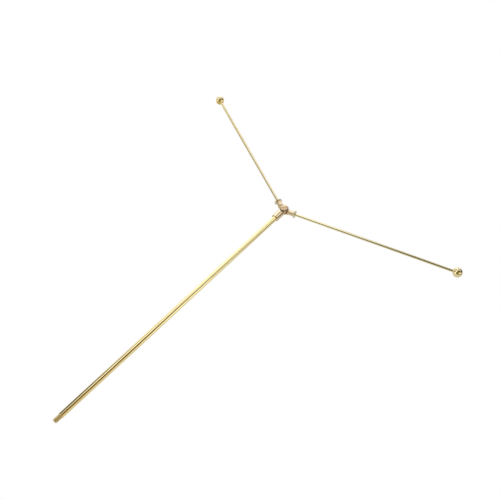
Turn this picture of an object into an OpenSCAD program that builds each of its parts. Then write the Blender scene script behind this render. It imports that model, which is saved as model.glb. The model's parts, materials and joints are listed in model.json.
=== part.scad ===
// Rabbit ears antenna: a brass mast with a screw thread at its foot and a friction hinge at its head,
// which carries two ball-tipped ears. It lies on its side, with the hinge axis upright.
// The origin is the centre of the mounting shoulder, where the thread leaves the mast. The mast runs along +Y.

/* [Mast] */
// Outside diameter of the mast tube
mast_d = 6; // [5.6:0.1:6.8]
// Wall of the mast tube
mast_wall = 0.8; // [0.5:0.1:1.2]
// From the mounting shoulder to the hinge axis
mast_reach = 345.4; // [120:0.1:600]
// Diameter of the mounting thread
stud_d = 5; // [4.8:0.1:5.4]
// Length of the mounting thread
stud_len = 8; // [4:0.5:16]
// Chamfer at the free end of the mounting thread
stud_chamfer = 0.5; // [0.2:0.1:1]
// Depth of the stud's plug inside the tube
plug_len = 12; // [6:1:24]

/* [Mast head] */
// Outside diameter of the socket that holds the mast
socket_d = 8.6; // [7.8:0.1:9.4]
// From the hinge axis to the socket's mouth
socket_reach = 17.2; // [15.6:0.1:30]
// Depth of the mast in the socket
socket_depth = 8.5; // [4:0.5:9]
// Taper where the socket meets the hinge
socket_taper = 1.2; // [0.6:0.1:1.4]
// Chamfer round the socket's mouth
mouth_chamfer = 0.3; // [0.1:0.1:0.5]
// Thickness of the tongue between the two eyes
tongue_t = 1.8; // [1.2:0.1:2.6]

/* [Ears] */
// From the hinge to the centre of a ball, along the ear
ear_reach = 207.5; // [80:0.1:400]
// Offset of an ear's axis from the hinge axis, towards the mast, so that the ears fold side by side
ear_offset = 1.3; // [0:0.1:1.5]
// Diameter of an ear's rod
rod_d = 3.2; // [2.4:0.1:3.6]
// Diameter of a ball
ball_d = 11; // [8:0.5:16]
// Depth of the rod in a ball
ball_depth = 6; // [4:0.5:7]
// Opening of the left ear from the mast's line
left_angle = 61.4; // [26:0.1:104]
// Opening of the right ear from the mast's line
right_angle = 76.4; // [26:0.1:104]

/* [Knuckles] */
// Diameter of a knuckle's barrel
barrel_d = 6.2; // [5.4:0.1:6.4]
// From the hinge axis to the barrel's mouth
barrel_reach = 13.2; // [12.2:0.1:20]
// Depth of the rod in the barrel
barrel_depth = 6; // [3:0.1:6.2]
// Fillet where the barrel meets its collar
barrel_fillet = 0.3; // [0.1:0.1:0.3]
// Diameter of the collar between a knuckle's eye and its barrel
collar_d = 7.6; // [7.6:0.1:8.6]
// Thickness of the collar
collar_t = 0.8; // [0.6:0.1:0.8]
// Diameter of the round lock nut at the barrel's mouth
nut_d = 9.2; // [8:0.1:10.4]
// Thickness of the lock nut
nut_t = 1.6; // [1:0.1:2.4]
// Diameter of the eyes and of the tongue's round end
eye_d = 10.2; // [10:0.1:11]
// Thickness of an eye
eye_t = 1.3; // [1:0.1:1.6]

/* [Hinge] */
// Diameter of the hinge post
post_d = 4.4; // [3.8:0.1:5]
// Thread diameter of the hinge screw
screw_d = 2.5; // [2:0.1:2.8]
// Length of the hinge screw under its head
screw_len = 4.6; // [3:0.1:5]
// Diameter of the two domed heads
head_d = 8.8; // [8:0.1:9.6]
// Height of a domed head
head_h = 1.6; // [1.2:0.1:1.8]
// Height of the straight rim under a head's dome
rim_h = 0.9; // [0.3:0.1:1]
// Turn of the driver slots about the hinge axis
slot_turn = 40; // [0:5:175]
// Width of the driver slots
slot_w = 0.9; // [0.6:0.1:1.4]
// Depth of the driver slots
slot_depth = 0.9; // [0.5:0.1:1.1]
// Thickness of a friction washer
fibre_t = 0.25; // [0.2:0.05:0.5]
// Diameter of a dished spring washer
spring_d = 10; // [7:0.1:10.2]
// Sheet thickness of a spring washer
spring_t = 0.25; // [0.15:0.05:0.3]
// Height of a spring washer as fitted
spring_h = 0.7; // [0.4:0.05:0.9]

/* [Fits] */
// Radial clearance where an eye turns on the post
turn_fit = 0.05; // [0.02:0.01:0.1]
// Radial clearance where one piece is fixed in another
seat_fit = 0.02; // [0.01:0.01:0.05]
// Gap between faces that slide on each other
face_gap = 0.02; // [0.01:0.01:0.05]
// Gap between an eye's rim and the shoulders that sweep round it
swing_gap = 0.5; // [0.4:0.1:1]
// Gap that lets the screw draw the hinge tight before it meets the post
draw_gap = 0.3; // [0.2:0.1:0.6]

/* [Hidden] */
$fn = 96;
over = 1; // how far a cut runs past the face that it opens

rod_brass = "#d8c27a";
head_brass = "#dcb98a";
bronze = "#b98a4e";
fibre = "#4a3020";

// Heights of the hinge's layers above its mid-plane, which also holds for the layers below it
tongue_top = tongue_t / 2;
fibre_top = tongue_top + fibre_t;
eye_foot = fibre_top + face_gap;
eye_top = eye_foot + eye_t;
spring_foot = eye_top + face_gap;
head_foot = spring_foot + spring_h;
head_top = head_foot + head_h;

// Distances along a limb, from the hinge axis outwards
shoulder = eye_d / 2 + swing_gap;
mast_end = socket_reach - socket_depth;
rod_end = barrel_reach - barrel_depth;
ball_end = ear_reach - ball_d / 2 + ball_depth;
nut_face = barrel_reach + nut_t;

post_hole_r = post_d / 2 + turn_fit;
mast_bore_r = mast_d / 2 - mast_wall;

// Places a limb on the hinge: its own +X runs outwards, turned by an angle from the mast's line
module limb(angle) {
    translate([0, mast_reach, 0]) rotate([0, 0, 90 + angle]) children();
}

// The mast's limb points back from the hinge to the origin
module mast_limb() {
    limb(180) children();
}

// Carries what lies on an ear's own axis, whose +Y side is towards the mast
module ear_line() {
    translate([0, ear_offset, 0]) children();
}

// The left ear's eye lies over the tongue
module left_limb() {
    limb(left_angle) children();
}

// The right ear is the same piece turned over, so that its eye lies under the tongue
module right_limb() {
    limb(-right_angle) rotate([180, 0, 0]) children();
}

// A round bar along a limb, between two distances from the hinge
module bar(d, from, to) {
    translate([from, 0, 0]) rotate([0, 90, 0]) cylinder(d = d, h = to - from);
}

// A cone along a limb, between two distances from the hinge
module taper(d_from, d_to, from, to) {
    translate([from, 0, 0]) rotate([0, 90, 0]) cylinder(d1 = d_from, d2 = d_to, h = to - from);
}

// A disc along a limb, with a full-round rim
module round_disc(d, from, to) {
    rim_r = (to - from) / 2;
    bar(d - 2 * rim_r, from, to);
    translate([from + rim_r, 0, 0]) rotate([0, 90, 0])
        rotate_extrude() translate([d / 2 - rim_r, 0]) circle(r = rim_r);
}

// A hollow fillet round a bar, where it leaves a wider face
module fillet(d, from, r) {
    translate([from, 0, 0]) rotate([0, 90, 0]) rotate_extrude() difference() {
        translate([d / 2 - r, 0]) square([2 * r, r]);
        translate([d / 2 + r, r]) circle(r = r);
    }
}

// A layer of the hinge: everything between two heights
module layer(foot, top, size) {
    translate([-size, -size, foot]) cube([2 * size, 2 * size, top - foot]);
}

// The flat end of a limb: a round eye, and the slice of the limb's own bar that joins it to the shoulder.
// The bar may lie to the side of the hinge axis.
module flat_end(d, foot, top, side = 0) {
    translate([0, 0, foot]) cylinder(d = eye_d, h = top - foot);
    intersection() {
        translate([0, side, 0]) bar(d, 0, shoulder + over);
        layer(foot, top, eye_d);
    }
}

// The hole through the hinge for the post
module post_hole() {
    translate([0, 0, -head_top]) cylinder(r = post_hole_r, h = 2 * head_top);
}

// A flat ring about the hinge axis
module ring(d, foot, top) {
    translate([0, mast_reach, foot]) difference() {
        cylinder(d = d, h = top - foot);
        translate([0, 0, -over]) cylinder(r = post_hole_r, h = top - foot + 2 * over);
    }
}

// A domed head that stands on the hinge's upper face, with a driver slot across it
module domed_head() {
    dome_h = head_h - rim_h;
    dome_r = ((head_d / 2) ^ 2 + dome_h ^ 2) / (2 * dome_h);
    difference() {
        translate([0, 0, head_foot]) {
            cylinder(d = head_d, h = rim_h);
            intersection() {
                translate([0, 0, head_h - dome_r]) sphere(r = dome_r);
                translate([0, 0, rim_h / 2]) cylinder(d = head_d, h = head_h);
            }
        }
        rotate([0, 0, slot_turn]) translate([-head_d, -slot_w / 2, head_top - slot_depth])
            cube([2 * head_d, slot_w, head_h]);
    }
}

// A dished washer: its outer rim bears on the eye and its inner rim on the domed head
module dished_washer() {
    inner_r = post_hole_r + turn_fit;
    rotate_extrude() polygon([
        [spring_d / 2, spring_foot],
        [spring_d / 2, spring_foot + spring_t],
        [inner_r, head_foot],
        [inner_r, head_foot - spring_t]
    ]);
}

// Mast tube, from the mounting shoulder to the floor of the socket
module mast_tube() {
    color(rod_brass) mast_limb() difference() {
        bar(mast_d, mast_end, mast_reach);
        bar(2 * mast_bore_r, mast_end - over, mast_reach + over);
    }
}

// Stud: the mounting thread below the tube, and the plug that is soldered into it
module mast_stud() {
    thread_end = mast_reach + stud_len;
    color(rod_brass) mast_limb() {
        bar(2 * (mast_bore_r - seat_fit), mast_reach - plug_len, mast_reach + stud_len / 2);
        bar(stud_d, mast_reach, thread_end - stud_chamfer);
        taper(stud_d, stud_d - 2 * stud_chamfer, thread_end - stud_chamfer, thread_end);
    }
}

// Mast head: a round socket for the mast, slabbed down to a tongue with a round end
module mast_head() {
    color(head_brass) mast_limb() difference() {
        union() {
            flat_end(socket_d - 2 * socket_taper, -tongue_top, tongue_top);
            taper(socket_d - 2 * socket_taper, socket_d, shoulder, shoulder + socket_taper);
            bar(socket_d, shoulder + socket_taper, socket_reach - mouth_chamfer);
            taper(socket_d, socket_d - 2 * mouth_chamfer, socket_reach - mouth_chamfer, socket_reach);
        }
        bar(mast_d + 2 * seat_fit, mast_end, socket_reach + over);
        post_hole();
    }
}

// Hinge post: a domed head under the hinge and a hollow shank up through the eyes and the tongue
module hinge_post() {
    color(head_brass) translate([0, mast_reach, 0]) difference() {
        union() {
            mirror([0, 0, 1]) domed_head();
            translate([0, 0, -head_foot]) cylinder(d = post_d, h = 2 * head_foot - draw_gap);
        }
        translate([0, 0, head_foot - screw_len - draw_gap])
            cylinder(d = screw_d + 2 * seat_fit, h = screw_len + draw_gap + over);
    }
}

// Hinge screw: a domed head over the hinge and a threaded shank down into the post
module hinge_screw() {
    color(head_brass) translate([0, mast_reach, 0]) {
        domed_head();
        translate([0, 0, head_foot - screw_len]) cylinder(d = screw_d, h = screw_len + rim_h / 2);
    }
}

// Friction washers, between the tongue and each eye
module upper_friction_washer() {
    color(fibre) ring(eye_d, tongue_top, fibre_top);
}

module lower_friction_washer() {
    color(fibre) ring(eye_d, -fibre_top, -tongue_top);
}

// Spring washers, between each eye and the domed head outside it
module upper_spring_washer() {
    color(bronze) translate([0, mast_reach, 0]) dished_washer();
}

module lower_spring_washer() {
    color(bronze) translate([0, mast_reach, 0]) mirror([0, 0, 1]) dished_washer();
}

// Knuckle: a round barrel for the ear's rod, a collar, and an eye that turns on the post
module knuckle() {
    collar_face = shoulder + collar_t;
    color(head_brass) difference() {
        union() {
            flat_end(collar_d - collar_t, eye_foot, eye_top, ear_offset);
            ear_line() {
                round_disc(collar_d, shoulder, collar_face);
                fillet(barrel_d, collar_face, barrel_fillet);
                bar(barrel_d, collar_face - collar_t / 2, barrel_reach);
            }
        }
        ear_line() bar(rod_d + 2 * seat_fit, rod_end, barrel_reach + over);
        post_hole();
    }
}

// Round lock nut that holds the rod in the barrel
module lock_nut() {
    color(rod_brass) ear_line() difference() {
        round_disc(nut_d, barrel_reach, nut_face);
        bar(rod_d + 2 * seat_fit, barrel_reach - over, nut_face + over);
    }
}

// Ear rod, from the floor of the barrel to the floor of the ball's hole
module ear_rod() {
    color(rod_brass) ear_line() bar(rod_d, rod_end, ball_end);
}

// Ball tip, drilled for the rod
module ball_tip() {
    color(rod_brass) ear_line() difference() {
        translate([ear_reach, 0, 0]) sphere(d = ball_d);
        bar(rod_d + 2 * seat_fit, ear_reach - ball_d, ball_end);
    }
}

mast_tube();
mast_stud();
mast_head();
hinge_post();
hinge_screw();
upper_friction_washer();
lower_friction_washer();
upper_spring_washer();
lower_spring_washer();
left_limb() knuckle();  // left_knuckle
left_limb() lock_nut();  // left_lock_nut
left_limb() ear_rod();  // left_rod
left_limb() ball_tip();  // left_ball
right_limb() knuckle();  // right_knuckle
right_limb() lock_nut();  // right_lock_nut
right_limb() ear_rod();  // right_rod
right_limb() ball_tip();  // right_ball
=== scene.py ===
"""Dresses a rabbit ears antenna: its drawn and turned brass pieces, their finishes, the light and the camera.

Sizes are in millimetres, on a piece's own turning axis, until Axis.place() carries them into the frame,
which is in metres.
"""

from __future__ import annotations

import json
import logging
import math
from dataclasses import dataclass
from enum import Enum

import bmesh
import bpy
import numpy as np
from mathutils import Matrix, Vector


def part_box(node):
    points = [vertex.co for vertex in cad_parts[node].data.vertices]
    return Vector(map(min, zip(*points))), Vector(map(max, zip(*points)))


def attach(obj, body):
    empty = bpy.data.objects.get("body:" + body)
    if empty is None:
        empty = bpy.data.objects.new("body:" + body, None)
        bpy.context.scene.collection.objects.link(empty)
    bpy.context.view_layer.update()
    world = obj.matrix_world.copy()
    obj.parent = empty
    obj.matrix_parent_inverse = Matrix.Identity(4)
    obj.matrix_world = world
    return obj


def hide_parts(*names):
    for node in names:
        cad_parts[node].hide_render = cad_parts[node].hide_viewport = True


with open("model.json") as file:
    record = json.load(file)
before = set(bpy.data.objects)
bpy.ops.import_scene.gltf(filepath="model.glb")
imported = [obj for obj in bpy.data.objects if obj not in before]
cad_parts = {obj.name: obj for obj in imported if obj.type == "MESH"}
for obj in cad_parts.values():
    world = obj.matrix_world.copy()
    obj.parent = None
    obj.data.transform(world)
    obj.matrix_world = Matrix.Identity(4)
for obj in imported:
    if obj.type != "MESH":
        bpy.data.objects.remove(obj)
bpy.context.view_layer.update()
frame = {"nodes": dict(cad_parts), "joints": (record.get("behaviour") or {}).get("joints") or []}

LOG = logging.getLogger("antenna")
MM = 0.001
ROUND_SIDES = 96
PLAN_SIDES = 3 * ROUND_SIDES
ARC_STEPS = 6
TINY = 1e-3
SHARP_ANGLE = math.radians(35)
NOISE_ROUGHNESS = 0.55

# Points nearer to each other than this are one point: on an outline in millimetres, in a mesh in metres.
SAME_POINT = 1e-6
WELD = 1e-7

# Where a colour Mix node keeps its two colours among its inputs, and its result among its outputs.
MIX_FIRST = 6
MIX_SECOND = 7
MIX_RESULT = 2

Colour = tuple[float, float, float]
Point = tuple[float, float, float]
Range = tuple[float, float]


def rgba(colour: Colour) -> tuple[float, float, float, float]:
    """The colour with full opacity, as a node's colour socket takes it."""
    return (*colour, 1.0)


class Boolean(Enum):
    """How one solid is worked into another."""

    JOIN = "UNION"
    CUT = "DIFFERENCE"


class Grain(Enum):
    """How a metal piece was last worked, which sets the run of its fine lines."""

    DRAWN = "pulled through a die, with lines along the piece"
    TURNED = "cut on a lathe, with rings round the piece"


class Side(Enum):
    """The two ears: the body's name, and which way up its eye lies."""

    LEFT = ("left", 1.0)
    RIGHT = ("right", -1.0)

    @property
    def word(self) -> str:
        """The word that the names of the ear's pieces start with."""
        return self.value[0]

    @property
    def upright(self) -> float:
        """1 where the eye lies over the tongue, and -1 where the ear is turned over."""
        return self.value[1]


@dataclass(frozen=True)
class Span:
    """Where a round node lies on its axis: its nearest and farthest points, and its radius."""

    near: float
    far: float
    radius: float


@dataclass(frozen=True)
class Axis:
    """A turning axis: its origin in the frame in metres, its direction and its own second direction."""

    origin: Point
    along: Point
    side: Point

    def turn(self) -> np.ndarray:
        """The axis's three directions, one to a row."""
        along = np.array(self.along)
        side = np.array(self.side)
        return np.stack([along, side, np.cross(along, side)])

    def place(self, points: np.ndarray) -> np.ndarray:
        """Carries points from the axis into the frame: origin + along * x + side * y + third * z.

        Args:
            points: Array whose last dimension is x along the axis, y and z across it, in millimetres.

        Returns:
            The same array in the frame's metres.
        """
        return np.array(self.origin) + MM * (points @ self.turn())

    def measure(self, node: str) -> Span:
        """Reads where a CAD node lies on this axis.

        Args:
            node: Name of a node that is round about this axis where it stands highest.

        Returns:
            The node's span, in millimetres.
        """
        mesh = frame["nodes"][node].data
        flat = np.empty(3 * len(mesh.vertices), np.float32)
        mesh.vertices.foreach_get("co", flat)
        own = (flat.reshape(-1, 3) - np.array(self.origin)) @ self.turn().T / MM
        return Span(float(own[:, 0].min()), float(own[:, 0].max()), float(np.ptp(own[:, 2]) / 2))


@dataclass(frozen=True)
class Corner:
    """A corner of an outline: two coordinates, and the radius that rounds it."""

    along: float
    out: float
    radius: float = 0.0


def outline(corners: list[Corner], steps: int = ARC_STEPS) -> np.ndarray:
    """Rounds the corners of an outline.

    The sides at a corner turn by an angle t. An arc of radius r touches both of them where it starts,
    r * tan(t / 2) before the corner, and it turns about a centre that lies r to the side of that start.

    Args:
        corners: The corners in order. The ends of an open outline have no radius.
        steps: Points on each arc, less one.

    Returns:
        Array of points, two coordinates each, without repeats.
    """
    point = np.array([[c.along, c.out] for c in corners])
    radius = np.array([[c.radius] for c in corners])
    before = point - np.roll(point, 1, axis=0)
    after = np.roll(point, -1, axis=0) - point
    before /= np.linalg.norm(before, axis=1, keepdims=True)
    after /= np.linalg.norm(after, axis=1, keepdims=True)
    turn = np.arctan2(before[:, :1] * after[:, 1:] - before[:, 1:] * after[:, :1],
                      np.sum(before * after, axis=1, keepdims=True))
    start = point - before * radius * np.tan(np.abs(turn) / 2)
    inward = np.sign(turn) * np.stack([-before[:, 1], before[:, 0]], axis=1)
    centre = start + inward * radius
    angle = turn * np.linspace(0.0, 1.0, steps + 1)
    cos, sin = np.cos(angle), np.sin(angle)
    arm = start - centre
    x = centre[:, :1] + arm[:, :1] * cos - arm[:, 1:] * sin
    y = centre[:, 1:] + arm[:, :1] * sin + arm[:, 1:] * cos
    path = np.stack([x.ravel(), y.ravel()], axis=1)
    step = np.linalg.norm(np.diff(path, axis=0), axis=1)
    return path[np.concatenate([[True], step > SAME_POINT])]


def surface(name: str, points: np.ndarray, loop: bool = False) -> bpy.types.Object:
    """Makes a closed piece from a grid whose columns go once round it.

    Neighbouring points make four-sided faces. Points that coincide at a pole are welded, and the faces are
    turned outwards by the sign of the enclosed volume.

    Args:
        name: Name of the piece.
        points: Grid of points in the frame, rows by columns by three.
        loop: True where the last row joins the first one.

    Returns:
        The piece, at the origin, with its place in its mesh.
    """
    index = np.arange(points.shape[0] * points.shape[1]).reshape(points.shape[:2])
    here = index if loop else index[:-1]
    there = np.roll(index, -1, axis=0) if loop else index[1:]
    corners = [here, np.roll(here, -1, axis=1), np.roll(there, -1, axis=1), there]
    faces = np.stack(corners, axis=-1).reshape(-1, 4)
    mesh = bpy.data.meshes.new(name)
    mesh.from_pydata(points.reshape(-1, 3).tolist(), [], faces.tolist())
    shell = bmesh.new()
    shell.from_mesh(mesh)
    bmesh.ops.remove_doubles(shell, verts=shell.verts, dist=WELD)
    if shell.calc_volume(signed=True) < 0:
        bmesh.ops.reverse_faces(shell, faces=shell.faces)
    shell.to_mesh(mesh)
    shell.free()
    piece = bpy.data.objects.new(name, mesh)
    bpy.context.scene.collection.objects.link(piece)
    return piece


def full_turn(sides: int) -> np.ndarray:
    """Angles that go once round in even steps."""
    return np.arange(sides) * (2 * np.pi / sides)


def round_grid(along: np.ndarray, radius: np.ndarray, angle: np.ndarray) -> np.ndarray:
    """Goes from (x, r), along an axis and out from it, to (x, r cos a, r sin a) for each angle a."""
    return np.stack([along + 0 * angle, radius * np.cos(angle), radius * np.sin(angle)], axis=-1)


def turned(name: str, axis: Axis, profile: np.ndarray, loop: bool = False) -> bpy.types.Object:
    """Turns a profile once round an axis.

    Args:
        name: Name of the piece.
        axis: The axis it is turned on.
        profile: Points of the profile, along the axis and out from it.
        loop: True for a ring or a tube, whose profile closes on itself clear of the axis.

    Returns:
        The turned piece.
    """
    grid = round_grid(profile[:, :1], profile[:, 1:], full_turn(ROUND_SIDES))
    return surface(name, axis.place(grid), loop)


def bar(name: str, axis: Axis, section: np.ndarray, near: float, far: float) -> bpy.types.Object:
    """Carries a closed section straight along an axis and closes both ends on their middle.

    Args:
        name: Name of the piece.
        axis: The axis that the section follows.
        section: Points of the section, across the axis in its second and third directions.
        near: Where the bar starts on the axis.
        far: Where it ends.

    Returns:
        The bar.
    """
    middle = np.broadcast_to(section.mean(axis=0), section.shape)
    rows = np.stack([middle, section, section, middle])
    reach = np.broadcast_to(np.array([near, near, far, far])[:, None], rows.shape[:2])
    return surface(name, axis.place(np.concatenate([reach[..., None], rows], axis=-1)))


def work(piece: bpy.types.Object, tool: bpy.types.Object, how: Boolean) -> None:
    """Joins a second solid to a piece, or cuts it out of the piece, and removes the second solid.

    Args:
        piece: The piece that is kept, with one closed skin.
        tool: The solid that it is worked with.
        how: Whether the solid is joined or cut out.
    """
    modifier = piece.modifiers.new("work", "BOOLEAN")
    modifier.operation = how.value
    modifier.solver = "EXACT"
    modifier.object = tool
    graph = bpy.context.evaluated_depsgraph_get()
    worked = bpy.data.meshes.new_from_object(piece.evaluated_get(graph))
    piece.modifiers.clear()
    piece.data = worked
    worked.name = piece.name
    bpy.data.objects.remove(tool)


class Graph:
    """A node tree while it is wired up."""

    def __init__(self, tree: bpy.types.NodeTree) -> None:
        """Starts on an empty tree."""
        self.tree = tree
        tree.nodes.clear()

    def add(self, kind: str, inputs: dict | None = None, **settings: object) -> bpy.types.Node:
        """Adds a node.

        Args:
            kind: The shader node's type, without its prefix.
            inputs: For each input's name or place, a socket that is linked to it or a value that it holds.
            **settings: Properties of the node, set before its inputs.

        Returns:
            The node.
        """
        node = self.tree.nodes.new("ShaderNode" + kind)
        for key, value in settings.items():
            setattr(node, key, value)
        for key, value in (inputs or {}).items():
            if isinstance(value, bpy.types.NodeSocket):
                self.tree.links.new(value, node.inputs[key])
            else:
                node.inputs[key].default_value = value
        return node

    def math(self, operation: str, first: object, second: object) -> bpy.types.NodeSocket:
        """A Math node's result on two numbers or sockets."""
        return self.add("Math", {0: first, 1: second}, operation=operation).outputs[0]

    def vector(self, operation: str, first: object, second: object) -> bpy.types.Node:
        """A Vector Math node on two vectors or sockets."""
        return self.add("VectorMath", {0: first, 1: second}, operation=operation)

    def ramp(self, value: object, start: float, end: float, low: float = 0.0,
             high: float = 1.0) -> bpy.types.NodeSocket:
        """A smooth step from low to high as the value goes from start to end."""
        inputs = {"Value": value, "From Min": start, "From Max": end, "To Min": low, "To Max": high}
        return self.add("MapRange", inputs, interpolation_type="SMOOTHSTEP").outputs[0]

    def mix(self, share: object, first: object, second: object, label: str = "") -> bpy.types.NodeSocket:
        """A colour that goes from the first to the second with the share. The label stands on the node."""
        inputs = {0: share, MIX_FIRST: first, MIX_SECOND: second}
        return self.add("Mix", inputs, data_type="RGBA", label=label).outputs[MIX_RESULT]

    def noise(self, place: object, size: Point, detail: float = 3.0) -> bpy.types.NodeSocket:
        """Soft noise from 0 to 1 whose blots have the given size, in millimetres, along each direction."""
        scaled = self.vector("DIVIDE", place, size).outputs[0]
        inputs = {"Vector": scaled, "Scale": 1.0, "Detail": detail, "Roughness": NOISE_ROUGHNESS}
        return self.add("TexNoise", inputs).outputs[0]

    def own_place(self, axis: Axis) -> bpy.types.NodeSocket:
        """The shaded point on the piece's own axis, in millimetres."""
        turn = Matrix(axis.turn().T.tolist()).to_euler()
        inputs = {"Vector": self.add("TexCoord").outputs["Object"], "Location": axis.origin,
                  "Rotation": turn, "Scale": (MM, MM, MM)}
        return self.add("Mapping", inputs, vector_type="TEXTURE").outputs[0]

    def radius(self, place: bpy.types.NodeSocket) -> bpy.types.NodeSocket:
        """The distance of a point from the axis, in millimetres."""
        across = self.vector("MULTIPLY", place, (0.0, 1.0, 1.0)).outputs[0]
        return self.add("VectorMath", {0: across}, operation="LENGTH").outputs["Value"]


@dataclass(frozen=True)
class Metal:
    """A worked metal: its bright and its dulled colour, its polish, and the fine lines of its working.

    The sizes of lines, blots and freckles are in millimetres. The shares say how much each of them dulls, and
    the ranges say at which values of the noise blots and freckles set in and are full.
    """

    slot: str
    bright: Colour
    dull: Colour
    polish: float
    haze: float
    grain: Grain
    line: float
    relief: float
    blot_share: float = 0.25
    freckle_share: float = 0.12
    line_share: float = 0.10
    recess: Range | None = None
    recess_share: float = 0.5
    line_stretch: float = 60.0
    blot: Point = (14.0, 5.0, 5.0)
    blot_detail: float = 5.0
    blot_range: Range = (0.38, 0.72)
    freckle: Point = (0.5, 0.3, 0.3)
    freckle_detail: float = 4.0
    freckle_range: Range = (0.66, 0.78)

    def lines(self, g: Graph, place: bpy.types.NodeSocket) -> bpy.types.NodeSocket:
        """The fine lines, from 0 to 1.

        On a drawn piece they are noise drawn out along the axis. On a turned piece they are rings: noise that
        reads only the distance along the axis and the distance from it.

        Args:
            g: The material's node graph.
            place: The shaded point on the piece's axis.

        Returns:
            The lines.
        """
        if self.grain is Grain.DRAWN:
            return g.noise(place, (self.line_stretch * self.line, self.line, self.line))
        along = g.add("SeparateXYZ", {0: place}).outputs[0]
        rings = g.add("CombineXYZ", {0: along, 1: g.radius(place)}).outputs[0]
        return g.noise(rings, (self.line, self.line, 1.0))

    def wear(self, g: Graph, place: bpy.types.NodeSocket,
             lines: bpy.types.NodeSocket) -> bpy.types.NodeSocket:
        """How dull the metal is, from 0 to 1.

        Broad blots of handling, small freckles of tarnish and the dirt in the lines add up. A recess between
        two radii is duller towards the inner one.

        Args:
            g: The material's node graph.
            place: The shaded point on the piece's axis.
            lines: The fine lines.

        Returns:
            The wear.
        """
        blot = g.noise(place, self.blot, self.blot_detail)
        freckle = g.noise(place, self.freckle, self.freckle_detail)
        blots = g.ramp(blot, *self.blot_range, 0.0, self.blot_share)
        freckles = g.ramp(freckle, *self.freckle_range, 0.0, self.freckle_share)
        wear = g.math("ADD", g.math("ADD", blots, freckles), g.math("MULTIPLY", lines, self.line_share))
        if self.recess:
            inner, outer = self.recess
            wear = g.math("ADD", wear, g.ramp(g.radius(place), outer, inner, 0.0, self.recess_share))
        return g.add("Clamp", {0: wear}).outputs[0]

    def material(self, axis: Axis, name: str) -> bpy.types.Material:
        """Builds the finish for a piece on its axis: wear goes from bright to dull and from polish to haze.

        Args:
            axis: The axis that the piece was drawn or turned on.
            name: Name of the piece, for the material's name.

        Returns:
            The material.
        """
        material = bpy.data.materials.new(f"{self.slot}_{name}")
        material.use_nodes = True
        g = Graph(material.node_tree)
        place = g.own_place(axis)
        lines = self.lines(g, place)
        wear = self.wear(g, place, lines)
        rough = g.add("MapRange", {"Value": wear, "To Min": self.polish, "To Max": self.haze}).outputs[0]
        bump = g.add("Bump", {"Strength": 1.0, "Distance": self.relief * MM, "Height": lines})
        shader = g.add("BsdfPrincipled", {
            "Base Color": g.mix(wear, rgba(self.bright), rgba(self.dull)),
            "Metallic": 1.0,
            "Roughness": rough,
            "Normal": bump.outputs[0],
        })
        g.add("OutputMaterial", {0: shader.outputs[0]})
        return material


@dataclass(frozen=True)
class Fibre:
    """Hard pressed fibre sheet, brown and mottled.

    The sizes of strands and mottling and the relief are in millimetres. The ranges say at which values of the
    noise the flecks set in and are full.
    """

    slot: str
    ground: Colour
    fleck: Colour
    roughness: Range
    strand: Point = (0.08, 0.5, 0.12)
    strand_range: Range = (0.35, 0.70)
    mottle: Point = (1.5, 1.2, 1.2)
    mottle_range: Range = (0.30, 0.70)
    detail: float = 4.0
    relief: float = 0.02
    relief_strength: float = 0.6

    def material(self, axis: Axis, name: str) -> bpy.types.Material:
        """Builds the finish: short strands as stretched noise, which stand up a little, over soft mottling.

        Args:
            axis: The hinge's axis.
            name: Name of the piece, for the material's name.

        Returns:
            The material.
        """
        material = bpy.data.materials.new(f"{self.slot}_{name}")
        material.use_nodes = True
        g = Graph(material.node_tree)
        place = g.own_place(axis)
        strands = g.noise(place, self.strand, self.detail)
        mottle = g.noise(place, self.mottle, self.detail)
        share = g.math("MULTIPLY", g.ramp(strands, *self.strand_range), g.ramp(mottle, *self.mottle_range))
        low, high = self.roughness
        rough = g.add("MapRange", {"Value": strands, "To Min": low, "To Max": high}).outputs[0]
        inputs = {"Strength": self.relief_strength, "Distance": self.relief * MM, "Height": strands}
        bump = g.add("Bump", inputs)
        shader = g.add("BsdfPrincipled", {
            "Base Color": g.mix(share, rgba(self.ground), rgba(self.fleck)),
            "Roughness": rough,
            "Normal": bump.outputs[0],
        })
        g.add("OutputMaterial", {0: shader.outputs[0]})
        return material


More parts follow.
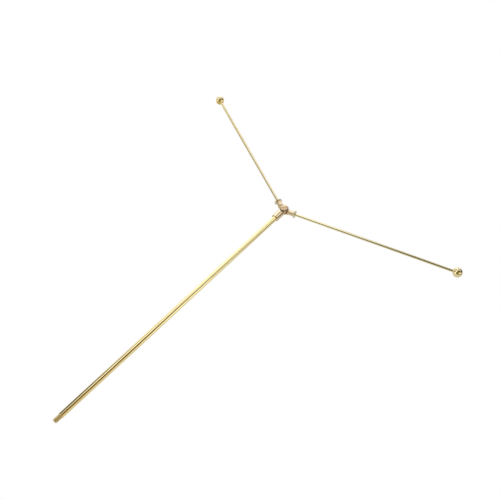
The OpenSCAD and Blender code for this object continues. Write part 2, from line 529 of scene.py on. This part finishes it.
@dataclass(frozen=True)
class Finishes:
    """The antenna's finishes. Pieces that share a material slot may differ in tone and polish."""

    mast: Metal = Metal("mast_brass", (0.92, 0.79, 0.41), (0.67, 0.53, 0.24), 0.05, 0.16,
                        Grain.DRAWN, line=0.10, relief=0.0003, blot_share=0.18, freckle_share=0.08)
    thread: Metal = Metal("thread_brass", (0.88, 0.77, 0.46), (0.62, 0.50, 0.27), 0.48, 0.62,
                          Grain.TURNED, line=0.06, relief=0.0020, recess=(2.15, 2.55))
    socket: Metal = Metal("head_brass", (0.79, 0.64, 0.43), (0.59, 0.45, 0.28), 0.18, 0.28,
                          Grain.TURNED, line=0.07, relief=0.0006, blot_share=0.35)
    knuckle: Metal = Metal("head_brass", (0.90, 0.74, 0.50), (0.71, 0.55, 0.33), 0.27, 0.40,
                           Grain.TURNED, line=0.07, relief=0.0006, blot_share=0.35)
    cap: Metal = Metal("head_brass", (0.88, 0.71, 0.47), (0.68, 0.51, 0.31), 0.46, 0.58,
                       Grain.TURNED, line=0.09, relief=0.0008, blot_share=0.35)
    ear: Metal = Metal("ear_brass", (0.89, 0.79, 0.49), (0.64, 0.55, 0.31), 0.06, 0.18,
                       Grain.DRAWN, line=0.08, relief=0.0003, blot_share=0.12, freckle_share=0.05)
    nut: Metal = Metal("ear_brass", (0.80, 0.73, 0.53), (0.54, 0.47, 0.32), 0.10, 0.24,
                       Grain.TURNED, line=0.06, relief=0.0006, blot_share=0.35)
    ball: Metal = Metal("ball_brass", (0.88, 0.75, 0.44), (0.64, 0.50, 0.26), 0.03, 0.12,
                        Grain.TURNED, line=0.09, relief=0.0001, freckle_share=0.06)
    # The spring washers' near-black bronze is painted shade, for the dark gap round the cap.
    spring: Metal = Metal("spring_bronze", (0.26, 0.18, 0.11), (0.14, 0.09, 0.055), 0.30, 0.50,
                          Grain.TURNED, line=0.12, relief=0.0010, blot_share=0.5, freckle_share=0.3)
    fibre: Fibre = Fibre("fibre", (0.045, 0.022, 0.012), (0.120, 0.055, 0.030), (0.55, 0.80))


FINISH = Finishes()


def fit(piece: bpy.types.Object, body: str, finish: Metal | Fibre, axis: Axis, *nodes: str) -> None:
    """Smooths and dresses a new piece, makes it ride on its body and stand for its CAD nodes.

    Args:
        piece: The new piece.
        body: The CAD body that it rides on.
        finish: Its finish.
        axis: The axis that the finish follows.
        *nodes: The CAD nodes that it stands for.
    """
    piece.data.shade_smooth()
    piece.data.set_sharp_from_angle(angle=SHARP_ANGLE)
    normals = piece.modifiers.new("even_shading", "WEIGHTED_NORMAL")
    normals.keep_sharp = True
    piece.data.materials.clear()
    piece.data.materials.append(finish.material(axis, piece.name))
    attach(piece, body)
    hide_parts(*nodes)
    LOG.info("%s rides on %s: %d faces", piece.name, body, len(piece.data.polygons))


@dataclass(frozen=True)
class HingeStack:
    """The hinge's layers above its mid-plane, which hold below it too, and sizes that its pieces share."""

    centre: Point
    tongue_top: float
    eye_foot: float
    eye_top: float
    head_foot: float
    eye_r: float
    hole_r: float = 2.25
    swing_gap: float = 0.5
    edge: float = 0.15

    @classmethod
    def read(cls, face_gap: float = 0.02) -> HingeStack:
        """Reads the layers from the washers in the frame.

        Args:
            face_gap: Gap between an eye and the washers that it slides on.

        Returns:
            The stack.
        """
        fibre_foot, fibre_top = (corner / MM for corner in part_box("upper_friction_washer"))
        spring_foot, spring_top = (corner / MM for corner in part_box("upper_spring_washer"))
        return cls(
            centre=tuple(frame["joints"][0]["pos_m"]),
            tongue_top=fibre_foot.z,
            eye_foot=fibre_top.z + face_gap,
            eye_top=spring_foot.z - face_gap,
            head_foot=spring_top.z,
            eye_r=(fibre_top.x - fibre_foot.x) / 2,
        )

    @property
    def shoulder(self) -> float:
        """Distance from the hinge at which a limb is whole again, clear of the other limbs' eyes."""
        return self.eye_r + self.swing_gap

    def limb(self, end: Vector, upright: float = 1.0, offset: float = 0.0) -> Axis:
        """The axis of a limb, from beside the hinge outwards and level.

        The line from the hinge to the end leans towards the limb's side by asin(offset / distance).

        Args:
            end: A point on the limb's axis, in the frame.
            upright: -1 for a limb that is turned over about its own axis.
            offset: How far the limb's axis passes the hinge's, on the limb's side.

        Returns:
            The axis. Its origin is the point nearest to the hinge.
        """
        reach = Vector(end) - Vector(self.centre)
        reach.z = 0.0
        toward = reach.normalized()
        across = Vector((-toward.y, toward.x, 0.0)) * upright
        lean = math.asin(offset * MM / reach.length)
        along = toward * math.cos(lean) - across * math.sin(lean)
        side = toward * math.sin(lean) + across * math.cos(lean)
        origin = Vector(self.centre) + side * offset * MM
        return Axis(tuple(origin), tuple(along), tuple(side))

    def upright(self, facing: float) -> Axis:
        """The hinge's own axis, facing up for 1 and down for -1."""
        return Axis(self.centre, (0.0, 0.0, facing), (1.0, 0.0, 0.0))

    def flat_end(self, name: str, axis: Axis, foot: float, top: float, neck_r: float,
                 neck_end: float, offset: float = 0.0) -> bpy.types.Object:
        """The flat end of a limb: a round eye with a hole, and a neck that is a slice of a round bar.

        In plan, at a height z and an angle a from the limb, the rim lies at the larger of the eye's radius
        and the neck's reach. The neck's reach is the smaller of end / cos(a) and (half +- offset) / sin(a),
        where half is sqrt(neck_r^2 - z^2). The section from the hole to the rim and back has its four corners
        rounded.

        Args:
            name: Name of the piece.
            axis: The limb's axis.
            foot: Height of the eye's lower face.
            top: Height of its upper face.
            neck_r: Radius of the bar that the neck is a slice of.
            neck_end: How far the neck reaches from the hinge.
            offset: How far the limb's axis passes the hinge's.

        Returns:
            The flat end, closed.
        """
        quarter = np.linspace(0.0, np.pi / 2, ARC_STEPS)
        dip, rise = self.edge * (1 - np.sin(quarter)), self.edge * (1 - np.cos(quarter))
        inset = np.concatenate([dip, rise])
        height = np.concatenate([foot + rise, top - dip])
        height = np.concatenate([height, height[::-1]])[:, None]
        at_rim = np.repeat([1.0, 0.0], len(inset))[:, None]
        step_in = np.concatenate([-inset, inset[::-1]])[:, None]
        angle = full_turn(PLAN_SIDES)
        cos, sin = np.cos(angle), np.sin(angle)
        half = np.sqrt(neck_r ** 2 - height ** 2) + offset * np.sign(sin)
        reach = np.minimum(neck_end / np.maximum(cos, TINY), half / np.maximum(np.abs(sin), TINY))
        rim = np.maximum(self.eye_r, np.where(cos > 0, reach, 0.0))
        r = at_rim * rim + (1 - at_rim) * self.hole_r + step_in
        grid = np.stack([r * cos, r * sin - offset, height + 0 * angle], axis=-1)
        return surface(name, axis.place(grid), loop=True)


@dataclass(frozen=True)
class Mast:
    """The mast: a drawn tube, the threaded stud in its foot and the turned head that slips over its top.

    The thread's crest and flank are shares of half its pitch, from the middle of a crest.
    """

    stack: HingeStack
    wall: float = 0.8
    clearance: float = 0.02
    edge: float = 0.10
    foot_round: float = 0.15
    pitch: float = 0.5
    thread_depth: float = 0.31
    crest: float = 1 / 8
    flank: float = 5 / 8
    rows_per_turn: int = 20
    end_chamfer: float = 0.5
    taper: float = 1.2
    mouth_chamfer: float = 0.3
    neck_grip: float = 0.8

    def build(self) -> None:
        """Builds and dresses the mast's three pieces."""
        axis = self.stack.limb(Vector((0.0, 0.0, 0.0)))
        self.tube(axis)
        self.stud(axis)
        self.head(axis)

    def tube(self, axis: Axis) -> None:
        """The drawn tube, with its foot rounded over and its other edges broken."""
        span = axis.measure("mast_tube")
        bore = span.radius - self.wall
        profile = outline([
            Corner(span.near, span.radius, self.edge),
            Corner(span.far, span.radius, self.foot_round),
            Corner(span.far, bore, self.edge),
            Corner(span.near, bore, self.edge),
        ])
        piece = turned("drawn_mast_tube", axis, profile, loop=True)
        fit(piece, "mast", FINISH.mast, axis, "mast_tube")

    def stud(self, axis: Axis) -> None:
        """The stud: a plain plug inside the tube, and a right-handed screw thread below it.

        At a distance v from the shoulder and an angle a, the thread's phase is v / pitch - a / full turn. Its
        distance from a crest, from 0 to 1, gives a flat crest, straight flanks and a flat root. The thread
        fades in smoothly over the first turn, and the chamfer caps its radius at the free end.
        """
        tube = axis.measure("mast_tube")
        span = axis.measure("mast_stud")
        length = span.far - tube.far
        angle = full_turn(ROUND_SIDES)
        v = np.linspace(0.0, length, int(length / self.pitch * self.rows_per_turn) + 1)[:, None]
        phase = v / self.pitch - angle / (2 * np.pi)
        off_crest = 2 * np.abs(phase - np.round(phase))
        depth = self.thread_depth * np.clip((off_crest - self.crest) / self.flank, 0.0, 1.0)
        fade = np.clip(v / self.pitch, 0.0, 1.0)
        cap = span.radius - self.end_chamfer + (length - v)
        thread = np.minimum(span.radius - depth * fade * fade * (3 - 2 * fade), cap)
        plug_r = tube.radius - self.wall - self.clearance
        plug = outline([
            Corner(span.near, 0.0),
            Corner(span.near, plug_r, self.edge),
            Corner(tube.far, plug_r),
        ])
        along = np.concatenate([plug[:, :1], tube.far + v, [[span.far]]])
        radius = np.concatenate([plug[:, 1:] + 0 * angle, thread, 0 * angle[None]])
        piece = surface("mast_thread", axis.place(round_grid(along, radius, angle)))
        fit(piece, "mast", FINISH.thread, axis, "mast_stud")

    def head(self, axis: Axis) -> None:
        """The head: a turned socket with a tapered shoulder and a chamfered mouth, in one with the tongue."""
        stack = self.stack
        tube = axis.measure("mast_tube")
        span = axis.measure("mast_head")
        neck_r = span.radius - self.taper
        bore = tube.radius + self.clearance
        profile = outline([
            Corner(stack.shoulder, 0.0),
            Corner(stack.shoulder, neck_r, self.edge),
            Corner(stack.shoulder + self.taper, span.radius, 2 * self.edge),
            Corner(span.far - self.mouth_chamfer, span.radius, self.edge),
            Corner(span.far, span.radius - self.mouth_chamfer, self.edge),
            Corner(span.far, bore, self.edge),
            Corner(tube.near, bore),
            Corner(tube.near, 0.0),
        ])
        piece = turned("mast_socket", axis, profile)
        tongue = stack.flat_end("tongue", axis, -stack.tongue_top, stack.tongue_top, neck_r,
                                stack.shoulder + self.neck_grip)
        work(piece, tongue, Boolean.JOIN)
        fit(piece, "mast", FINISH.socket, axis, "mast_head")


@dataclass(frozen=True)
class Hinge:
    """The hinge's fasteners, a screw above and a hollow post below with slotted heads, and its washers."""

    stack: HingeStack
    post_r: float = 2.2
    screw_r: float = 1.25
    screw_len: float = 4.6
    draw_gap: float = 0.3
    clearance: float = 0.02
    head_r: float = 4.4
    head_h: float = 1.6
    rim_h: float = 0.9
    edge: float = 0.12
    dome_steps: int = 24
    slot_turn: float = math.radians(40)
    slot_w: float = 0.9
    slot_depth: float = 0.9

    def build(self) -> None:
        """Builds the screw and the post, and dresses the washers."""
        stack = self.stack
        shank_end = stack.head_foot - self.screw_len
        screw_shank = [
            Corner(shank_end, 0.0),
            Corner(shank_end, self.screw_r, self.edge),
            Corner(stack.head_foot, self.screw_r),
        ]
        self.fastener("slotted_screw", 1.0, screw_shank, "hinge_screw")
        bore = self.screw_r + self.clearance
        post_top = self.draw_gap - stack.head_foot
        bore_floor = self.screw_len + self.draw_gap - stack.head_foot
        post_shank = [
            Corner(bore_floor, 0.0),
            Corner(bore_floor, bore),
            Corner(post_top, bore, self.edge),
            Corner(post_top, self.post_r, self.edge),
            Corner(stack.head_foot, self.post_r),
        ]
        self.fastener("slotted_post", -1.0, post_shank, "hinge_post")
        for level, facing in (("upper", 1.0), ("lower", -1.0)):
            axis = stack.upright(facing)
            self.dress_washer(f"{level}_friction_washer", FINISH.fibre, axis)
            # The spring washers' very dark finish is painted shade round the cap.
            self.dress_washer(f"{level}_spring_washer", FINISH.spring, axis)

    def dome(self) -> np.ndarray:
        """The dome from its rim to its top, as an arc of the circle through both.

        The circle's radius is (r^2 + h^2) / 2h for a dome of radius r and height h.

        Returns:
            Points along the hinge's axis and out from it.
        """
        height = self.head_h - self.rim_h
        dome_r = (self.head_r ** 2 + height ** 2) / (2 * height)
        start = math.asin((self.head_r - self.edge) / dome_r)
        angle = np.linspace(start, 0.0, self.dome_steps)
        top = self.stack.head_foot + self.head_h
        return np.stack([top - dome_r * (1 - np.cos(angle)), dome_r * np.sin(angle)], axis=1)

    def fastener(self, name: str, facing: float, shank: list[Corner], node: str) -> None:
        """A slotted fastener: its shank, the flat under its head, the rim and the dome, turned in one.

        Args:
            name: Name of the piece.
            facing: 1 for a head above the hinge, and -1 for one below it.
            shank: Corners of the shank, from its end to the flat under the head.
            node: The CAD node that it stands for.
        """
        axis = self.stack.upright(facing)
        foot = self.stack.head_foot
        flat = outline([
            *shank,
            Corner(foot, self.head_r, self.edge),
            Corner(foot + self.rim_h - self.edge, self.head_r),
        ])
        piece = turned(name, axis, np.concatenate([flat, self.dome()]))
        floor = foot + self.head_h - self.slot_depth
        across = (math.cos(self.slot_turn), math.sin(self.slot_turn), 0.0)
        slot_axis = Axis(axis.origin, across, tuple(np.cross((0.0, 0.0, facing), across)))
        half = self.slot_w / 2
        over = floor + self.head_h
        reach = 2 * self.head_r
        section = outline([
            Corner(-half, floor, self.edge),
            Corner(half, floor, self.edge),
            Corner(half, over),
            Corner(-half, over),
        ])
        work(piece, bar("slot", slot_axis, section, -reach, reach), Boolean.CUT)
        fit(piece, "mast", FINISH.cap, axis, node)

    def dress_washer(self, node: str, finish: Metal | Fibre, axis: Axis) -> None:
        """Gives a washer, whose CAD shape is right as it is, its finish."""
        washer = frame["nodes"][node]
        washer.material_slots[0].material = finish.material(axis, node)
        LOG.info("%s keeps its CAD shape", node)


@dataclass(frozen=True)
class Ear:
    """An ear: the knuckle on the hinge, the lock nut at its mouth, the drawn rod and the turned ball.

    A full-round rim stops just short of half its thickness, so that its two arcs stay apart. The collar's
    share counts from half its thickness, and the nut's from the whole.
    """

    stack: HingeStack
    side: Side
    clearance: float = 0.02
    edge: float = 0.10
    offset: float = 1.3
    collar_t: float = 0.8
    barrel_r: float = 3.1
    fillet: float = 0.3
    collar_round: float = 0.999
    nut_round: float = 0.499
    ball_steps: int = 64

    def build(self) -> None:
        """Builds and dresses the ear's four pieces."""
        low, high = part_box(self.node("ball"))
        axis = self.stack.limb((low + high) / 2, self.side.upright, self.offset)
        self.knuckle(axis)
        self.lock_nut(axis)
        self.rod(axis)
        self.ball(axis)

    def node(self, part: str) -> str:
        """The CAD node of one of this ear's parts."""
        return f"{self.side.word}_{part}"

    def add(self, piece: bpy.types.Object, finish: Metal, axis: Axis, part: str) -> None:
        """Fits a piece to this ear's body in place of a CAD node."""
        fit(piece, f"{self.side.word}_ear", finish, axis, self.node(part))

    def bore(self, axis: Axis) -> float:
        """Radius of the holes that the rod is fixed in."""
        return axis.measure(self.node("rod")).radius + self.clearance

    def knuckle(self, axis: Axis) -> None:
        """The knuckle: a full-round collar and a filleted barrel, turned in one, with the flat eye joined."""
        stack = self.stack
        span = axis.measure(self.node("knuckle"))
        rod = axis.measure(self.node("rod"))
        rim = self.collar_t / 2
        collar_end = stack.shoulder + self.collar_t
        bore = self.bore(axis)
        profile = outline([
            Corner(stack.shoulder, 0.0),
            Corner(stack.shoulder, span.radius, self.collar_round * rim),
            Corner(collar_end, span.radius, self.collar_round * rim),
            Corner(collar_end, self.barrel_r, self.fillet),
            Corner(span.far, self.barrel_r, self.edge),
            Corner(span.far, bore, self.edge),
            Corner(rod.near, bore),
            Corner(rod.near, 0.0),
        ], steps=2 * ARC_STEPS)
        piece = turned(f"{self.side.word}_ear_knuckle", axis, profile)
        eye = stack.flat_end("eye", axis, stack.eye_foot, stack.eye_top, span.radius - rim,
                             stack.shoulder + rim, self.offset)
        work(piece, eye, Boolean.JOIN)
        self.add(piece, FINISH.knuckle, axis, "knuckle")

    def lock_nut(self, axis: Axis) -> None:
        """The round lock nut, a disc with a full-round rim and a broken edge round its hole."""
        span = axis.measure(self.node("lock_nut"))
        rim = self.nut_round * (span.far - span.near)
        bore = self.bore(axis)
        profile = outline([
            Corner(span.near, bore, self.edge),
            Corner(span.near, span.radius, rim),
            Corner(span.far, span.radius, rim),
            Corner(span.far, bore, self.edge),
        ], steps=2 * ARC_STEPS)
        piece = turned(f"{self.side.word}_ear_lock_nut", axis, profile, loop=True)
        self.add(piece, FINISH.nut, axis, "lock_nut")

    def rod(self, axis: Axis) -> None:
        """The drawn rod, with both ends broken."""
        span = axis.measure(self.node("rod"))
        profile = outline([
            Corner(span.near, 0.0),
            Corner(span.near, span.radius, self.edge),
            Corner(span.far, span.radius, self.edge),
            Corner(span.far, 0.0),
        ])
        piece = turned(f"{self.side.word}_ear_rod", axis, profile)
        self.add(piece, FINISH.ear, axis, "rod")

    def ball(self, axis: Axis) -> None:
        """The ball, an arc from its outer pole to the edge of its hole, and the drilled hole.

        The arc ends at asin((hole + edge) / ball) from the inner pole, where the hole's broken edge starts.
        """
        span = axis.measure(self.node("ball"))
        rod = axis.measure(self.node("rod"))
        bore = self.bore(axis)
        middle = span.far - span.radius
        angle = np.linspace(0.0, np.pi - math.asin((bore + self.edge) / span.radius), self.ball_steps)
        arc = np.stack([middle + span.radius * np.cos(angle), span.radius * np.sin(angle)], axis=1)
        hole = np.array([
            [arc[-1, 0] + self.edge, bore],
            [rod.far, bore],
            [rod.far, 0.0],
        ])
        piece = turned(f"{self.side.word}_ear_ball", axis, np.concatenate([arc, hole]))
        self.add(piece, FINISH.ball, axis, "ball")


@dataclass(frozen=True)
class PhotoCamera:
    """The camera at the photograph's viewing angle. Pixels are counted in the photograph's square frame."""

    frame_px: float = 500.0
    focal_px: float = 850.0
    hinge_px: tuple[float, float] = (284.1, 209.8)
    azimuth: float = math.radians(39.6)
    elevation: float = math.radians(50.3)
    distance: float = 0.943
    sensor: float = 36.0
    clip_share: float = 0.01

    @property
    def right(self) -> Vector:
        """The level direction to the right in the picture."""
        return Vector((math.cos(self.azimuth), math.sin(self.azimuth), 0.0))

    @property
    def ahead(self) -> Vector:
        """The level direction away from the camera."""
        return Vector((-math.sin(self.azimuth), math.cos(self.azimuth), 0.0))

    def aim(self, hinge: Vector) -> Vector:
        """The point in the middle of the picture, at the hinge's height.

        A point y ahead of the middle and x to its right is seen f * y * sin(e) / (d + y * cos(e)) above the
        middle and f * x / (d + y * cos(e)) to its right, at focal length f, distance d and elevation e.

        Args:
            hinge: The hinge's centre.

        Returns:
            The point that the camera looks at.
        """
        right_px = self.hinge_px[0] - self.frame_px / 2
        above_px = self.frame_px / 2 - self.hinge_px[1]
        sin, cos = math.sin(self.elevation), math.cos(self.elevation)
        y = above_px * self.distance / (self.focal_px * sin - above_px * cos)
        x = right_px * (self.distance + y * cos) / self.focal_px
        return hinge - self.right * x - self.ahead * y

    def build(self, hinge: Vector) -> None:
        """Places the camera and makes it the scene's."""
        lens = bpy.data.cameras.new("photo_camera")
        lens.sensor_width = self.sensor
        lens.lens = self.focal_px / self.frame_px * self.sensor
        lens.clip_start = self.clip_share * self.distance
        camera = bpy.data.objects.new("photo_camera", lens)
        bpy.context.scene.collection.objects.link(camera)
        back = Vector((0.0, 0.0, math.sin(self.elevation))) - self.ahead * math.cos(self.elevation)
        camera.location = self.aim(hinge) + back * self.distance
        camera.rotation_euler = (math.pi / 2 - self.elevation, 0.0, self.azimuth)
        bpy.context.scene.camera = camera


@dataclass(frozen=True)
class TentZone:
    """A part of the light tent with a tone of its own: an ellipse, seen from the antenna, in degrees.

    The azimuth is counted from straight ahead of the camera to its right.
    """

    what: str
    azimuth: float
    elevation: float
    half_width: float
    half_height: float
    softness: float
    tone: Colour

    def cover(self, g: Graph, direction: bpy.types.NodeSocket, camera: PhotoCamera) -> bpy.types.NodeSocket:
        """How far the zone covers a direction, from 0 to 1.

        On the plane that touches the sphere at the ellipse's middle, a direction lies at (side, up) / forward
        and its distance there, in half widths and half heights, crosses 1 at the rim.

        Args:
            g: The world's node graph.
            direction: The direction that is looked at.
            camera: The camera, for its azimuth.

        Returns:
            The cover.
        """
        turn, lift = math.radians(self.azimuth), math.radians(self.elevation)
        level = camera.ahead * math.cos(turn) + camera.right * math.sin(turn)
        middle = level * math.cos(lift) + Vector((0.0, 0.0, math.sin(lift)))
        side = level.cross(Vector((0.0, 0.0, 1.0)))
        up = side.cross(middle)
        side /= math.tan(math.radians(self.half_width))
        up /= math.tan(math.radians(self.half_height))
        forward = g.math("MAXIMUM", g.vector("DOT_PRODUCT", direction, middle).outputs["Value"], TINY)
        shares = [g.vector("DOT_PRODUCT", direction, way).outputs["Value"] for way in (side, up)]
        flat = g.add("CombineXYZ", {0: shares[0], 1: shares[1]}).outputs[0]
        reach = g.add("VectorMath", {0: flat}, operation="LENGTH").outputs["Value"]
        ratio = g.math("DIVIDE", reach, forward)
        return g.ramp(ratio, 1 + self.softness, 1 - self.softness)


@dataclass(frozen=True)
class Studio:
    """A white light tent with zones of other tones, over a glowing floor with painted light and shade.

    Only the antenna's reflections see these tones. The camera sees tent and floor as one plain backdrop. The
    floor's tones change over ranges of the distance behind the hinge, or to its right, in metres.
    """

    camera: PhotoCamera
    light: Colour = (1.80, 1.80, 1.80)
    backdrop: Colour = (1.0, 1.0, 1.0)
    floor_near: Colour = (0.75, 0.75, 0.75)
    # Painted shade on the glowing floor: golden behind the hinge.
    floor_gold_shade: Colour = (0.60, 0.47, 0.22)
    floor_gold_shade_range: Range = (0.06, 0.14)
    # Painted light on the glowing floor: brighter beyond the golden shade.
    floor_far: Colour = (1.05, 1.00, 0.90)
    floor_far_range: Range = (0.184, 0.196)
    # Painted shade on the glowing floor: dark on the right.
    floor_side_shade: Colour = (0.20, 0.19, 0.16)
    floor_side_shade_range: Range = (0.205, 0.215)
    floor_half: float = 4.0
    zones: tuple[TentZone, ...] = (
        TentZone("dim room in front", 158, 35, 46, 48, 0.15, (0.46, 0.42, 0.24)),
        TentZone("shaded wall at the back right", 40, 15, 28, 56, 0.2, (0.56, 0.56, 0.64)),
        TentZone("gap high on the right", 100, 60, 12, 32, 0.25, (0.05, 0.03, 0.02)),
        TentZone("wide gap low on the right", 76, 10, 25, 26, 0.2, (0.05, 0.04, 0.03)),
        TentZone("shade round the seam at the back left", -39, 35, 9, 50, 0.5, (0.40, 0.38, 0.34)),
        TentZone("seam at the back left", -38, 34, 6, 24, 0.35, (0.01, 0.01, 0.01)),
        TentZone("shaded wall low on the left", -80, 16, 26, 34, 0.2, (1.08, 1.05, 0.94)),
        TentZone("narrow gap low on the left", -76, 15, 10, 36, 0.2, (0.02, 0.03, 0.04)),
        TentZone("bright foot of the wall at the back right", 30, 12, 8, 26, 0.3, (1.40, 1.40, 1.40)),
        TentZone("seam over the camera", -165, 70, 12, 38, 0.2, (0.08, 0.05, 0.02)),
        TentZone("shaded front round the camera", -150, 35, 28, 42, 0.7, (0.14, 0.14, 0.06)),
        TentZone("shaded wall at the front right", 125, 20, 17, 28, 0.2, (0.70, 0.54, 0.36)),
        TentZone("top of the seam at the back left", -25, 50, 9, 20, 0.55, (0.22, 0.18, 0.24)),
        TentZone("gap behind the camera", 170, 45, 22, 16, 0.5, (0.40, 0.33, 0.14)),
        TentZone("window at the front right", 137, 16, 13, 13, 0.3, (1.80, 1.80, 1.80)),
    )

    def build(self, hinge: Vector, rests: list[Vector]) -> None:
        """Builds the tent's light and the floor.

        Args:
            hinge: The hinge's centre.
            rests: The three points that the antenna lies on.
        """
        self.tent()
        self.floor(hinge, rests)
        bpy.context.scene.view_settings.view_transform = "Standard"

    def tent(self) -> None:
        """The tent, as the world's light: each zone is laid over those before it."""
        world = bpy.data.worlds.new("light_tent")
        world.use_nodes = True
        bpy.context.scene.world = world
        g = Graph(world.node_tree)
        direction = g.add("TexCoord").outputs["Generated"]
        colour: object = rgba(self.light)
        for zone in self.zones:
            colour = g.mix(zone.cover(g, direction, self.camera), colour, rgba(zone.tone), zone.what)
        seen = g.add("LightPath").outputs["Is Camera Ray"]
        colour = g.mix(seen, colour, rgba(self.backdrop))
        shine = g.add("Background", {0: colour, 1: 1.0})
        g.add("OutputWorld", {0: shine.outputs[0]})

    def floor(self, hinge: Vector, rests: list[Vector]) -> None:
        """The floor: the plane through the three points that the antenna lies on.

        It glows with painted light and shade: a golden painted shade behind the hinge, brighter painted light
        beyond that, and a dark painted shade on the right.

        Args:
            hinge: The hinge's centre.
            rests: The three points that the antenna lies on.
        """
        first, second, third = (np.array(point) for point in rests)
        normal = np.cross(second - first, third - first)
        side = np.array([-1.0, 1.0]) * self.floor_half
        x, y = (axis.ravel() for axis in np.meshgrid(side, side))
        z = first[2] - ((x - first[0]) * normal[0] + (y - first[1]) * normal[1]) / normal[2]
        mesh = bpy.data.meshes.new("floor")
        mesh.from_pydata(np.stack([x, y, z], axis=1).tolist(), [], [[0, 1, 3, 2]])
        floor = bpy.data.objects.new("floor", mesh)
        bpy.context.scene.collection.objects.link(floor)
        material = bpy.data.materials.new("pale_floor")
        material.use_nodes = True
        g = Graph(material.node_tree)
        place = g.vector("SUBTRACT", g.add("TexCoord").outputs["Object"], hinge).outputs[0]
        behind = g.vector("DOT_PRODUCT", place, self.camera.ahead).outputs["Value"]
        # Painted shade: golden behind the hinge; painted light: brighter beyond it.
        glow = g.mix(g.ramp(behind, *self.floor_gold_shade_range), rgba(self.floor_near), rgba(self.floor_gold_shade))
        glow = g.mix(g.ramp(behind, *self.floor_far_range), glow, rgba(self.floor_far))
        # Painted shade: the floor goes dark on the right.
        aside = g.vector("DOT_PRODUCT", place, self.camera.right).outputs["Value"]
        glow = g.mix(g.ramp(aside, *self.floor_side_shade_range), glow, rgba(self.floor_side_shade))
        seen = g.add("LightPath").outputs["Is Camera Ray"]
        shine = g.add("Emission", {0: g.mix(seen, glow, rgba(self.backdrop))})
        g.add("OutputMaterial", {0: shine.outputs[0]})
        mesh.materials.append(material)


def rest_points() -> list[Vector]:
    """The lowest points of the two balls and of the mast's foot, which the antenna lies on."""
    points = []
    for ball in ("left_ball", "right_ball"):
        low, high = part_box(ball)
        points.append(Vector(((low.x + high.x) / 2, (low.y + high.y) / 2, low.z)))
    low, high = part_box("mast_tube")
    points.append(Vector(((low.x + high.x) / 2, low.y, low.z)))
    return points


def main() -> None:
    """Builds the camera, the sub-assemblies and the studio."""
    logging.basicConfig(level=logging.INFO, format="%(message)s", force=True)
    stack = HingeStack.read()
    camera = PhotoCamera()
    camera.build(Vector(stack.centre))
    Mast(stack).build()
    Hinge(stack).build()
    for side in Side:
        Ear(stack, side).build()
    Studio(camera).build(Vector(stack.centre), rest_points())


if __name__ == "__main__":
    main()
